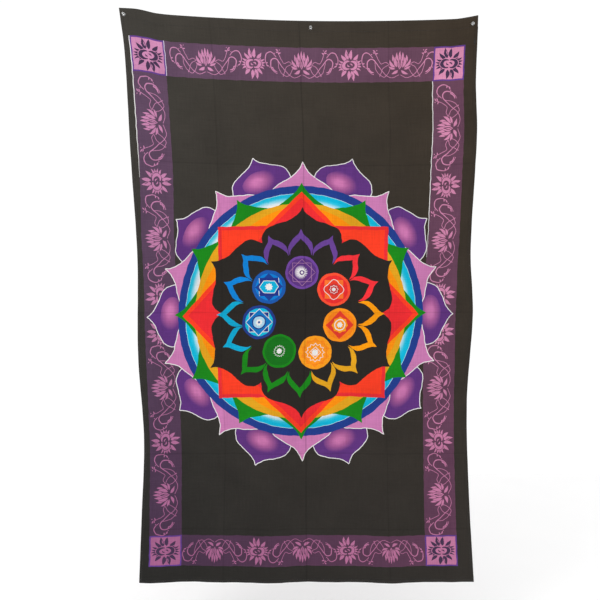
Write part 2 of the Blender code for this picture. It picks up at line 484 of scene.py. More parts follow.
def lost_shapes(shapes_of):
    """The few shapes whose edge the division lost, so that they run out over the whole cloth."""
    counts = np.bincount([shape for shapes in shapes_of for shape in shapes])
    return {shape for shape in np.flatnonzero(counts > 0.5 * len(shapes_of)).tolist() if shape > 1}


def inner_places():
    """Where the plain cloth is divided: an even grid, and closer rows at the folds and the top seam."""
    columns = np.arange(GRID_STEP, CLOTH_WIDTH - 0.5 * GRID_STEP, GRID_STEP)
    rows = np.arange(GRID_STEP, CLOTH_LENGTH - 0.5 * GRID_STEP, GRID_STEP)
    close_columns = [fold + side for fold in FOLDS_DOWN for side in (-0.004, 0.0, 0.004)]
    close_rows = [fold + side for fold in FOLDS_ACROSS for side in (-0.004, 0.0, 0.004)]
    close_rows += [TOP_HEM_DEPTH - 0.005, TOP_HEM_DEPTH - SEAM_INSET, TOP_HEM_DEPTH + 0.002]
    open_columns = [u for u in columns if min(abs(u - close) for close in close_columns) > 0.004]
    open_rows = [v for v in rows if min(abs(v - close) for close in close_rows) > 0.004]
    all_columns = sorted([*open_columns, *close_columns])
    all_rows = sorted([*open_rows, *close_rows])
    return [(u, v) for u in all_columns for v in all_rows]


class Brush:
    """Draws a motif in its own directions, x to its right and y up, from its own centre."""

    def __init__(self, pattern, centre, axes, drift):
        self.pattern = pattern
        self.centre = np.asarray(centre, float)
        self.axes = np.asarray(axes, float)
        self.drift = drift

    def on_cloth(self, points):
        return self.centre + np.asarray(points) @ self.axes

    def fill(self, outline, dye):
        self.pattern.fill(self.on_cloth(outline), dye, self.drift)

    def line(self, path, width, dye):
        size = math.sqrt(abs(np.linalg.det(self.axes)))
        self.pattern.line(self.on_cloth(path), size * np.asarray(width), dye, self.drift)

    def loop(self, outline, width, dye):
        """A line round a closed outline, back to its start."""
        self.line(np.vstack([outline, outline[:1]]), width, dye)

    def dot(self, centre, radius, dye):
        self.fill(circle(radius, 8, centre), dye)

    def part(self, centre, turn=0.0, stretch=(1.0, 1.0)):
        """A brush for a motif within this one, turned clockwise by that many degrees."""
        t = math.radians(turn)
        axes = np.array([(math.cos(t), -math.sin(t)), (math.sin(t), math.cos(t))])
        axes *= np.array(stretch)[:, None]
        return Brush(self.pattern, self.on_cloth(centre), axes @ self.axes, self.drift)

    def turned(self, count, first=0.0):
        """That many brushes, turned evenly about the centre."""
        return [self.part((0, 0), first + 360 / count * step) for step in range(count)]


# ---------------------------------------------------------------- the bands


ROSETTE_LEAVES = (
    ((-16, 10), (-35, 16), 6, 3),
    ((-18, 3), (-37, 6), 6, 2),
    ((-18, -4), (-37, -6), 6, -1),
    ((-16, -10), (-35, -17), 6, -3),
    ((-9, 14), (-27, 33), 10, 2),
    ((-10, -16), (-27, -35), 10, -2),
    ((-5, 15), (-12, 49), 11, 1),
    ((-3, -17), (-5, -48), 11, 1),
    ((-3, 14), (-22, 20), 7, 5),
    ((-4, -12), (-24, -19), 7, -5),
)


def draw_rosette(brush, petals, inside):
    """A double lotus: two of them, base to base, each with leaves round a hollow petal."""
    halves = brush.turned(2)
    for half in halves:
        for base, tip, width, bend in ROSETTE_LEAVES:
            half.fill(leaf(base, tip, width, bend), petals)
        half.fill(leaf((-5, 26), (-9, 40), 2.4), inside)
    brush.fill(circle(0.0265, 24, squash=0.70), inside)
    for half in halves:
        half.fill(circle(0.0150, 18, (-0.0095, 0.0), 0.98), petals)
    for half in halves:
        half.fill(circle(0.0108, 16, (-0.0042, 0.0), 0.92), inside)
    for half in halves:
        half.fill(leaf((1, 6), (-2, 16), 3.5), inside)
        half.fill(leaf((1, -4), (-8, 4), 4.0, 3), petals)


LOTUS_LEAVES = (
    ((-5, 8), (-9, 38), 7, 1),
    ((6, 8), (8, 39), 7, -1),
    ((0, 8), (0, 42), 7, 0),
    ((-10, 0), (-20, 32), 8, 3),
    ((11, 0), (19, 31), 8, -3),
    ((-12, -8), (-30, 16), 8, 4),
    ((12, -8), (30, 18), 8, -4),
    ((-8, -8), (-13, 25), 9, 3),
    ((8, -8), (13, 24), 9, -3),
    ((-12, -12), (-32, -4), 7, 2),
    ((12, -12), (32, -3), 7, -2),
    ((0, -14), (0, 28), 14, 0),
    ((-4, -16), (-24, -27), 9, 2),
    ((4, -16), (24, -28), 9, -2),
)


def draw_lotus(brush, petals, inside):
    """The small lotus between two scrolls, seen from the side. A dark gap parts its leaves."""
    for base, tip, width, bend in LOTUS_LEAVES:
        brush.fill(leaf(base, tip, width + 3.0, bend), inside)
        brush.fill(leaf(base, tip, width, bend), petals)
    brush.fill(leaf((0, -11), (0, 20), 7), inside)
    brush.fill(leaf((0, -9), (0, 12), 3), petals)


def tapered(count, *widths):
    """That many widths, evenly run through the given ones, which are in millimetres."""
    return np.interp(np.linspace(0, len(widths) - 1, count), np.arange(len(widths)), widths) * 0.001


def draw_scroll(brush):
    """The scrolls to the left of a lotus: four curling stems with small leaves and dots at their ends."""
    inner_hook = mm(
        (-2, -30), (-22, -39), (-40, -30), (-52, -15), (-64, 1), (-74, 15),
        (-83, 18), (-92, 11), (-93, -4), (-88, -18), (-78, -27),
    )
    brush.line(path_through(inner_hook, 3), tapered(31, 1.4, 1.7, 2.8, 3.2, 1.4), pink_dye_painted_light)
    low_loop = mm((-71, 11), (-69, -8), (-62, -25), (-48, -36), (-40, -34), (-31, -22), (-28, -15))
    brush.line(path_through(low_loop, 3), 0.0015, pink_dye_painted_light)
    cross_stem = mm((-30, 1), (-45, -8), (-52, -23), (-57, -32))
    brush.line(path_through(cross_stem, 3), 0.0015, pink_dye_painted_light)
    outer_hook = mm((-76, 22), (-86, 34), (-95, 37), (-105, 32), (-109, 18), (-109, 8), (-104, -4))
    brush.line(path_through(outer_hook, 3), tapered(19, 1.7, 2.8, 2.6, 1.4), pink_dye_painted_light)
    tendril = mm((-30, 2), (-40, 8), (-53, 3), (-60, 13), (-67, 30), (-71, 42))
    brush.line(path_through(tendril, 3), 0.0015, pink_dye_painted_light)
    for base, tip, width in (
        ((-90, -8), (-84, -14), 4),
        ((-88, -14), (-80, -20), 4),
        ((-84, -20), (-73, -22), 4),
        ((-108, 4), (-101, 5), 4),
        ((-106, -2), (-98, -7), 4),
        ((-70, 36), (-77, 38), 4),
        ((-69, 33), (-61, 36), 4),
        ((-71, 41), (-77, 46), 4),
    ):
        brush.fill(leaf(base, tip, width), pink_dye_painted_light)
    for dot in ((-96, -9), (-76, -27), (-80, 33), (-66, 44), (-57, -34), (-27, -13)):
        brush.dot(mm(dot)[0], 0.0015, pink_dye_painted_light)


def draw_unit(brush):
    """A lotus between two mirrored scrolls."""
    for side in (1, -1):
        draw_scroll(brush.part((0, 0), stretch=(side, 1)))
    draw_lotus(brush, pink_dye_painted_light, band_dye_painted_light)


def draw_corner(brush):
    """The square where two bands meet: a violet frame, and a dark double lotus on pink."""
    half = BAND_WIDTH / 2
    brush.fill(box(half), CORNER_VIOLET)
    brush.fill(box(half - 0.0045), pink_dye_painted_light)
    wide = brush.part((0, 0), stretch=(1.24, 0.98))
    draw_rosette(wide, CORNER_DARK, pink_dye_painted_light)


def draw_bands(cloth):
    """The four bands with their motifs, the corner squares, and the bare edges of the bands."""
    middle_left = BAND_LEFT + BAND_WIDTH / 2
    middle_right = BAND_RIGHT - BAND_WIDTH / 2
    middle_top = BAND_TOP + BAND_WIDTH / 2
    middle_bottom = BAND_BOTTOM - BAND_WIDTH / 2
    half_width = (BAND_RIGHT - BAND_LEFT) / 2
    half_length = (BAND_BOTTOM - BAND_TOP) / 2
    middle = cloth.part(((BAND_LEFT + BAND_RIGHT) / 2, -(BAND_TOP + BAND_BOTTOM) / 2))
    middle.fill(box(half_width, half_length), band_dye_painted_light)
    middle.fill(box(half_width - BAND_WIDTH, half_length - BAND_WIDTH), black_dye_painted_light)

    for u in (middle_left, middle_right):
        for v in SIDE_UNITS:
            draw_unit(cloth.part((u, -v), turn=-90, stretch=(1.23, 1.0)))
        for v in SIDE_ROSETTES:
            draw_rosette(cloth.part((u, -v), turn=90, stretch=(1.08, 0.98)), pink_dye_painted_light, band_dye_painted_light)
    for v, centre, spacing, turn in (
        (middle_top, TOP_MIDDLE, TOP_SPACING, 0),
        (middle_bottom, BOTTOM_MIDDLE, BOTTOM_SPACING, 180),
    ):
        for step in (-1, 0, 1):
            draw_unit(cloth.part((centre + step * spacing, -v), turn, stretch=(1.02, 1.0)))
        for step in (-0.5, 0.5):
            rosette = cloth.part((centre + step * spacing, -v), turn, stretch=(0.98, 0.97))
            draw_rosette(rosette, pink_dye_painted_light, band_dye_painted_light)
    for u in (middle_left, middle_right):
        for v in (middle_top, middle_bottom):
            draw_corner(cloth.part((u, -v)))

    # Where the dye of the bands has missed the black, bare cotton shows as a thin line.
    edge = BAND_LEFT - 0.001
    cloth.line([(edge, -BAND_TOP), (edge, -0.36), (edge, -0.50)], (0.0025, 0.0024, 0.0008), WHITE)
    edge = BAND_LEFT + BAND_WIDTH + 0.0005
    cloth.line([(edge, -BAND_TOP), (edge, -BAND_TOP - BAND_WIDTH)], 0.0024, PALE_EDGE)
    edge = BAND_RIGHT - BAND_WIDTH
    start = BAND_TOP + BAND_WIDTH
    cloth.line([(edge, -start), (edge, -0.60), (edge, -0.74)], (0.0021, 0.0021, 0.0008), WHITE)


# ---------------------------------------------------------------- the mandala


VIOLET_PETAL_SIDE = mm(
    (512, 0), (500.5, 8.5), (486, 26.5), (472, 56), (458, 81), (441, 92.5), (418, 97), (385, 94),
)
PINK_PETAL_SIDE = mm(
    (477, 0), (456.5, 9.5), (438.5, 23.5), (427, 38.5), (412, 63), (400, 81), (389, 94), (375, 105),
)
GREEN_LEAF_SIDE = mm((412, 0), (384.5, 16.5), (364, 38.5), (340, 69), (330, 85))
BLACK_LOTUS_SIDE = mm(
    (331, 0), (312.6, 10.2), (295.6, 31), (285.2, 51.8), (276.7, 79.6), (264.7, 107.3),
    (247.6, 121.1), (230.6, 125), (215, 125),
)
CHEVRON_OUTER = mm((266, 0), (249, 8.5), (234, 24), (218, 36), (200, 39), (181, 34))
CHEVRON_INNER = mm((181, 34), (197, 30.5), (216, 17.5), (235, 0))
PETAL_LINE = 0.0025
PETAL_TIP_LINE = 0.0015
NAVY_RADIUS = 0.401
WATER_RADIUS = 0.377
GOLD_RADIUS = 0.345
SQUARE_HALF = 0.2725
SQUARE_RIM = 0.0115
DIAMOND_HALF = 0.383
DIAMOND_RIM = 0.0133
LOTUS_DISC_RADIUS = 0.239
DISC_RADIUS = 0.0532
DISC_RING = 0.1325
DISC_RING_CENTRE = (-0.0020, -0.0060)
DISC_TURN = 2.6


def draw_outlined_petal(brush, side, dye):
    """A petal with a white line round it, which thins to its tip."""
    brush.fill(petal(side), dye)
    edge = side_path(side)
    widths = np.full(len(edge), PETAL_LINE)
    widths[0] = PETAL_TIP_LINE
    for mirror in (1, -1):
        brush.line(edge * (mirror, 1), widths, WHITE)


def draw_outer_petals(mandala):
    mandala = mandala.part((0.002, 0.002), stretch=(0.974, 1.008))
    for brush in mandala.turned(10, first=18):
        draw_outlined_petal(brush, VIOLET_PETAL_SIDE, VIOLET_PETAL)
        patch = brush.part((0, 0.430))
        stops = ((0.014, PETAL_GLOW), (0.030, PETAL_HALF_GLOW), (0.060, VIOLET_PETAL))
        glow = ringed(patch, stops, squash=0.62)
        for radius in (0.060, 0.052, 0.044, 0.037, 0.030, 0.024, 0.014):
            patch.fill(circle(radius, 24, squash=0.62), glow)
    for brush in mandala.turned(10):
        draw_outlined_petal(brush, PINK_PETAL_SIDE, PINK_PETAL)


def draw_rings(mandala):
    """The navy ring, the water inside it, the green leaves, and the gold and orange they stand behind."""
    mandala = mandala.part((0, 0.004), stretch=(0.985, 1.0))
    mandala.fill(circle(NAVY_RADIUS, 144), NAVY)
    mandala.fill(circle(WATER_RADIUS, 144), PALE_BLUE)
    stops = ((0.343, WHITE), (0.350, PALE_BLUE), (0.358, SHALLOW_WATER), (0.366, CYAN))
    water = ringed(mandala, stops)
    for radius in (0.3758, 0.366, 0.358, 0.350):
        mandala.fill(circle(radius, 144), water)
    for brush in mandala.turned(12):
        brush.fill(petal(GREEN_LEAF_SIDE, foot=0.315), GREEN)
    mandala.fill(circle(GOLD_RADIUS, 144), GOLD)
    angle = angles(144)
    lobes = 0.334 - 0.022 * np.sin(2 * angle) ** 2
    mandala.fill(lobes[:, None] * np.stack([np.sin(angle), np.cos(angle)], axis=1), ORANGE)


def draw_square_and_diamond(mandala):
    square = mandala.part((0.008, 0.004))
    square.fill(box(SQUARE_HALF), DEEP_RED)
    square.fill(box(SQUARE_HALF - SQUARE_RIM), ORANGE_RED)
    tips = mandala.part((0, 0), stretch=(0.992, 1.009))
    tips.fill(diamond(DIAMOND_HALF), ORANGE_RED)
    tips.fill(diamond(DIAMOND_HALF - DIAMOND_RIM * math.sqrt(2)), RED)


def draw_black_lotus(mandala):
    mandala = mandala.part((0.004, 0), stretch=(1.02, 1.02))
    for brush in mandala.turned(6):
        brush.fill(petal(BLACK_LOTUS_SIDE, foot=0.0), MANDALA_BLACK)
    mandala.fill(circle(LOTUS_DISC_RADIUS, 96), MANDALA_BLACK)


def draw_chevrons(mandala):
    colours = (
        [CHEVRON_VIOLET] * 2 + [CHEVRON_RED] * 2 + [CHEVRON_ORANGE] * 2 + [GOLD] * 2
        + [GREEN] * 3 + [CHEVRON_CYAN] * 2 + [CHEVRON_BLUE] * 2 + [CHEVRON_VIOLET]
    )
    mandala = mandala.part((0, -0.003), stretch=(1.01, 1.015))
    outer = side_path(CHEVRON_OUTER)
    inner = side_path(CHEVRON_INNER)
    right = np.vstack([outer, inner[1:]])
    for brush, colour in zip(mandala.turned(16), colours):
        brush.fill(right, colour)
        brush.fill(right * (-1, 1), colour)


# ---------------------------------------------------------------- the seven discs


def draw_heart(disc, radius, dye=None):
    """The white flower in the middle of a disc."""
    disc.fill(star(9, radius, 0.72 * radius), WHITE)
    disc.fill(circle(0.30 * radius, 12), dye or WHITE)


def draw_field(disc, share, rim, field):
    """The rim of a disc, and the field inside it, which takes up that share of the radius."""
    disc.fill(circle(1.0), rim)
    disc.fill(circle(share), field)


def draw_violet_disc(disc):
    deep = (92, 52, 128)
    draw_field(disc, 0.86, (115, 70, 160), deep)
    line = (178, 128, 168)
    disc.loop(diamond(0.80), 0.028, line)
    disc.loop(box(0.56), 0.028, line)
    glow = ringed(disc, ((0.20, (225, 212, 226)), (0.44, deep)))
    for radius in (0.44, 0.36, 0.28, 0.20):
        disc.fill(circle(radius, 24), glow)
    disc.fill(star(14, 0.36, 0.17), WHITE)
    disc.fill(circle(0.15, 12), deep)
    draw_heart(disc, 0.09)


def draw_red_disc(disc):
    draw_field(disc, 0.84, (255, 80, 50), (238, 45, 45))
    disc.fill(box(0.56), (255, 118, 45))
    angle = angles(32)
    reach = 0.53 + 0.07 * np.cos(4 * angle)
    ogee = reach[:, None] * np.stack([np.sin(angle), np.cos(angle)], axis=1)
    disc.fill(ogee, (235, 60, 40))
    disc.loop(ogee, 0.035, WHITE)
    disc.fill(circle(0.34, 24), (200, 45, 45))
    disc.loop(star(8, 0.27, 0.20), 0.035, WHITE)
    draw_heart(disc, 0.13)


def draw_orange_disc(disc):
    draw_field(disc, 0.84, (255, 150, 20), (250, 132, 22))
    disc.fill(diamond(0.84), (226, 58, 40))
    disc.fill(star(8, 0.50, 0.42), (255, 158, 25))
    disc.loop(circle(0.31, 20), 0.06, WHITE)
    draw_heart(disc, 0.19)


def draw_amber_disc(disc):
    disc.fill(circle(1.0), (255, 160, 25))
    disc.fill(star(10, 0.88, 0.72), (250, 138, 22))
    disc.fill(circle(0.66, 24), (255, 152, 25))
    disc.loop(star(12, 0.56, 0.44), 0.04, WHITE)
    disc.loop(diamond(0.34), 0.04, WHITE)
    draw_heart(disc, 0.23)


def draw_green_disc(disc):
    draw_field(disc, 0.87, GREEN, (16, 112, 22))
    disc.loop(star(16, 0.34, 0.27), 0.035, WHITE)
    draw_heart(disc, 0.18)


def draw_cyan_disc(disc):
    draw_field(disc, 0.83, NAVY, CYAN)
    disc.fill(box(0.58), NAVY)
    disc.loop(box(0.58), 0.032, WHITE)
    disc.fill(diamond(0.82), (0, 118, 195))
    disc.loop(diamond(0.80), 0.034, WHITE)
    disc.fill(circle(0.42, 24), NAVY)
    disc.fill(circle(0.35, 24), (175, 215, 235))
    draw_heart(disc, 0.22, (20, 70, 150))


def draw_blue_disc(disc):
    draw_field(disc, 0.80, (22, 88, 172), (0, 125, 210))
    disc.fill(diamond(0.82), (25, 62, 145))
    disc.fill(box(0.58, 0.54), (30, 50, 135))
    for x in (-0.58, 0.58):
        for y in (-1, 1):
            disc.line([(x, 0.54 * y), (x, 0.24 * y)], 0.032, WHITE)
    hexagon = np.array([(0.58, 0), (0.32, 0.36), (-0.32, 0.36), (-0.58, 0), (-0.32, -0.36), (0.32, -0.36)])
    disc.fill(hexagon, (0, 175, 215))
    disc.loop(hexagon, 0.036, WHITE)
    draw_heart(disc, 0.24)


def draw_discs(mandala):
    drawings = (
        draw_violet_disc, draw_red_disc, draw_orange_disc, draw_amber_disc,
        draw_green_disc, draw_cyan_disc, draw_blue_disc,
    )
    ring = mandala.part(DISC_RING_CENTRE)
    for step, draw in enumerate(drawings):
        angle = math.radians(DISC_TURN) + 2 * math.pi * step / len(drawings)
        place = (DISC_RING * math.sin(angle), DISC_RING * math.cos(angle))
        draw(ring.part(place, stretch=(DISC_RADIUS, DISC_RADIUS)))


def draw_pattern():
    """Everything that is dyed on the cloth."""
    pattern = Pattern(black_dye_painted_light)
    upright = [(1, 0), (0, -1)]
    draw_bands(Brush(pattern, (0, 0), upright, band_drift))
    mandala = Brush(pattern, MANDALA_CENTRE, upright, mandala_drift)
    draw_outer_petals(mandala)
    draw_rings(mandala)
    draw_square_and_diamond(mandala)
    draw_black_lotus(mandala)
    draw_chevrons(mandala)
    draw_discs(mandala)
    return pattern


# ---------------------------------------------------------------- hanging the cloth


def standoff(u, v):
    """How far the back of the cloth stands off the wall."""
    free = ease((v - TOP_HEM_DEPTH) / FLUTE_LENGTH)
    wave = 0.0
    for height, width, phase, lean in FLUTES:
        wave = wave + height * np.sin(2 * math.pi * (u + lean * v) / width + phase)
    panel = TOP_STANDOFF + free * (FREE_STANDOFF + wave)
    folded = 2 * CLOTH_THICKNESS
    pressed = ease((v - TOP_HEM_DEPTH + 0.006) / 0.004)
    hem = folded + pressed * (TOP_STANDOFF - folded)
    return np.where(v < TOP_HEM_DEPTH, hem, panel)


def relief(u, v):
    """The small unevenness of the cloth: its storage folds, soft ripples, and puckers below the pins."""
    below_hem = ease((v - TOP_HEM_DEPTH) / 0.08)
    height = np.zeros(len(u))
    for place, fold in enumerate(FOLDS_DOWN):
        sign = -1 if place % 2 else 1
        height += sign * FOLD_HEIGHT * np.exp(-np.abs(u - fold) / FOLD_WIDTH)
    for place, fold in enumerate(FOLDS_ACROSS):
        sign = 1 if place % 2 else -1
        height += sign * FOLD_HEIGHT * np.exp(-np.abs(v - fold) / FOLD_WIDTH)
    height += 0.0007 * wave(u / 0.097 + 0.35 * v + 0.2) * wave(v / 0.61 + 0.1)
    height += 0.0006 * wave(v / 0.143 + 1.9 * u) * wave(u / 0.52 + 0.6)
    height += 0.0004 * wave(u / 0.061 - v / 0.083 + 0.4)
    for _, x, _ in PINS:
        pin_u = CLOTH_WIDTH * (x - LEFT_EDGE[0][1]) / (RIGHT_EDGE[0][1] - LEFT_EDGE[0][1])
        across = u - pin_u
        down = v - 0.02
        lean = np.arctan2(across, np.maximum(down, 0.001))
        reach = np.exp(-np.hypot(across, down) / 0.11)
        height += 0.0016 * reach * np.sin(9 * lean + x)
    return below_hem * height


def place_on_cloth(u, v, forward):
    """Where points of the flat cloth hang, a distance forward of the back of the cloth."""
    left = smooth_curve(LEFT_EDGE, v)
    right = smooth_curve(RIGHT_EDGE, v)
    x = left + (right - left) * u / CLOTH_WIDTH
    drop = smooth_curve(TOP_EDGE_DROP, u) * (1 - ease(v / LEVEL_LENGTH))
    y = -standoff(u, v) - relief(u, v) - forward
    return np.stack([x, y, CORNER_HEIGHT - v - drop], axis=1)


def new_piece(name, places, faces, materials):
    """A new smooth-shaded mesh object."""
    mesh = bpy.data.meshes.new(name)
    mesh.from_pydata(places.tolist(), [], faces.tolist())
    mesh.shade_smooth()
    for material in materials:
        mesh.materials.append(material)
    piece = bpy.data.objects.new(name, mesh)
    bpy.context.scene.collection.objects.link(piece)
    return piece


def tube_faces(rings, sides):
    """The faces of a tube whose places are given ring by ring."""
    around = np.arange(sides)
    quads = []
    for ring in range(rings - 1):
        low = ring * sides + around
        high = ring * sides + (around + 1) % sides
        quads.append(np.stack([low, high, high + sides, low + sides], axis=1))
    return np.concatenate(quads)


def keep_flat_places(piece, flat):
    """Stores where each point lay on the flat cloth, for the weave to follow."""
    stored = np.zeros((len(flat), 3), np.float32)
    stored[:, :2] = flat
    attribute = piece.data.attributes.new("flat_place", "FLOAT_VECTOR", "POINT")
    attribute.data.foreach_set("vector", stored.ravel())


def keep_colours(piece, triangles, colours):
    """Stores a colour at each corner of each triangle."""
    stored = np.ones((len(triangles) * 3, 4), np.float32)
    stored[:, :3] = colours
    attribute = piece.data.color_attributes.new("dye", "FLOAT_COLOR", "CORNER")
    attribute.data.foreach_set("color", stored.ravel())


def thicken(piece, thickness):
    """Gives a single layer its thickness, behind the surface that shows."""
    layer = piece.modifiers.new("thickness", "SOLIDIFY")
    layer.thickness = thickness
    layer.offset = -1.0
    layer.material_offset = 1
    layer.material_offset_rim = 0


def corner_colours(pattern, corners, shape):
    """The dye at each corner of each triangle."""
    order = np.argsort(shape, kind="stable")
    numbers, starts = np.unique(shape[order], return_index=True)
    colours = np.zeros((len(corners), 3))
    for number, mine in zip(numbers, np.split(order, starts[1:])):
        colours[mine] = pattern.dyes[number](*corners[mine].T)
    return colours


def make_cloth(front, back):
    pattern = draw_pattern()
    flat, triangles, top = pattern.divide()
    triangles = triangles[:, ::-1]
    u, v = flat.T
    places = place_on_cloth(u, v, CLOTH_THICKNESS)
    cloth = new_piece("tapestry_cloth", places, triangles, (front, back))
    keep_flat_places(cloth, flat)
    keep_colours(cloth, triangles, corner_colours(pattern, flat[triangles.ravel()], np.repeat(top, 3)))
    thicken(cloth, CLOTH_THICKNESS)
    return cloth


# ---------------------------------------------------------------- hems and stitching


def ribbon(name, across, along_places, material):
    """A strip swept over rows of places, each row the same profile of the fold."""
    rows, columns = len(along_places), len(across)
    places = np.concatenate(along_places)
    first = np.arange(rows - 1)[:, None] * columns + np.arange(columns - 1)[None, :]
    first = first.ravel()
    faces = np.stack([first, first + 1, first + columns + 1, first + columns], axis=1)
    piece = new_piece(name, places, faces, (material, material))
    thicken(piece, 0.95 * CLOTH_THICKNESS)
    return piece


def fold_profile(width):
    """The turned-under strip behind an edge, as (distance from the edge, distance behind the cloth).

    It leaves the edge, runs in behind, turns under and runs back out between the two outer layers.
    """
    layer = CLOTH_THICKNESS
    out = [(0.0000, 0.2 * layer), (-0.0004, 1.0 * layer), (-0.0003, 1.8 * layer), (0.0008, 2.0 * layer)]
    back = [(share * width, 2.0 * layer) for share in (0.3, 0.6, 0.9)]
    turn = [(width, 1.9 * layer), (width + 0.0003, 1.5 * layer), (width, 1.1 * layer)]
    inside = [(share * width, 1.0 * layer) for share in (0.85, 0.5, 0.15)]
    return [*out, *back, *turn, *inside]


def make_hem(name, side, material):
    """One of the four hems, which runs along its side of the cloth."""
    width = TOP_HEM_DEPTH if side == "top" else EDGE_HEM_WIDTH
    profile = np.array(fold_profile(width))
    long_way = CLOTH_WIDTH if side in ("top", "bottom") else CLOTH_LENGTH
    start = 0.0 if side in ("top", "bottom") else TOP_HEM_DEPTH + HEM_GAP
    rows = []
    flat_rows = []
    for along in np.linspace(start, long_way, round(long_way / HEM_STEP)):
        inward = profile[:, 0]
        same = np.full(len(profile), along)
        flat = {
            "top": (same, inward),
            "bottom": (same, CLOTH_LENGTH - inward),
            "left": (inward, same),
            "right": (CLOTH_WIDTH - inward, same),
        }[side]
        rows.append(place_on_cloth(*flat, -profile[:, 1]))
        flat_rows.append(np.stack(flat, axis=1))
    hem = ribbon(name, profile, rows, material)
    keep_flat_places(hem, np.concatenate(flat_rows))
    return hem


def stitch_places(flat_path, forward):
    """The two ends of each stitch along a seam."""
    steps = np.hypot(*np.diff(flat_path, axis=0).T)
    walked = np.concatenate([[0.0], np.cumsum(steps)])
    starts = np.arange(0.001, walked[-1] - STITCH_PITCH, STITCH_PITCH)
    ends = starts + STITCH_LENGTH
    found = []
    for at in (starts, ends):
        u = np.interp(at, walked, flat_path[:, 0])
        v = np.interp(at, walked, flat_path[:, 1])
        found.append(place_on_cloth(u, v, forward))
    return found


def make_stitches(name, flat_path, forward, material):
    """A row of stitches, each a short length of thread that dips into the cloth at both ends."""
    starts, ends = stitch_places(flat_path, forward)
    ahead = ends - starts
    ahead /= np.linalg.norm(ahead, axis=1)[:, None]
    out = np.array([0.0, -math.copysign(1.0, forward), 0.0])
    side = np.cross(ahead, out)
    out = np.cross(side, ahead)
    sides = 5
    angle = angles(sides)
    rings = []
    for share, radius, lift in ((0.0, 0.4, -0.9), (0.2, 1.0, 0.2), (0.8, 1.0, 0.2), (1.0, 0.4, -0.9)):
        centre = starts + (ends - starts) * share + out * lift * THREAD_RADIUS
        for a in angle:
            offset = side * math.cos(a) + out * math.sin(a)
            rings.append(centre + offset * radius * THREAD_RADIUS)
    count = len(starts)
    places = np.stack(rings, axis=1).reshape(-1, 3)
    quads = tube_faces(4, sides)
    per_stitch = 4 * sides
    faces = (quads[None, :, :] + per_stitch * np.arange(count)[:, None, None]).reshape(-1, 4)
    return new_piece(name, places, faces, (material,))


def seam_paths():
    """Each seam's line on the flat cloth."""
    inset = EDGE_HEM_WIDTH - SEAM_INSET
    top = TOP_HEM_DEPTH - SEAM_INSET
    bottom = CLOTH_LENGTH - inset
    left, right = inset, CLOTH_WIDTH - inset
    return {
        "top_hem": np.array([(0.004, top), (CLOTH_WIDTH - 0.004, top)]),
        "bottom_hem": np.array([(left, bottom), (right, bottom)]),
        "left_hem": np.array([(left, TOP_HEM_DEPTH + HEM_GAP), (left, bottom)]),
        "right_hem": np.array([(right, TOP_HEM_DEPTH + HEM_GAP), (right, bottom)]),
    }


# ---------------------------------------------------------------- push pins


def make_pin_head(name, x, z, material):
    """A moulded head, turned about the needle, with the faint ridge where the two mould halves met."""
    steps = 64
    bore = [(HEAD_BORE_RADIUS, 0.0), (HEAD_BORE_RADIUS, HEAD_BORE_DEPTH), (0.0, HEAD_BORE_DEPTH)]
    outer = path_through(HEAD_PROFILE[1:-1], 4)
    profile = np.vstack([HEAD_PROFILE[:1], outer, HEAD_PROFILE[-1:], bore])
    angle = angles(steps)
    ridge = np.where(np.arange(steps) % (steps // 2) == 0, 1.012, 1.0)
    rings = []
    for radius, height in profile:
        swell = ridge if radius > HEAD_BORE_RADIUS else 1.0
        ring_x = x + radius * swell * np.cos(angle)
        ring_z = z + radius * swell * np.sin(angle)
        rings.append(np.stack([ring_x, np.full(steps, HEAD_SEAT - height), ring_z], axis=1))
    places = np.concatenate(rings)
    return new_piece(name, places, tube_faces(len(profile), steps), (material,))


# ---------------------------------------------------------------- materials


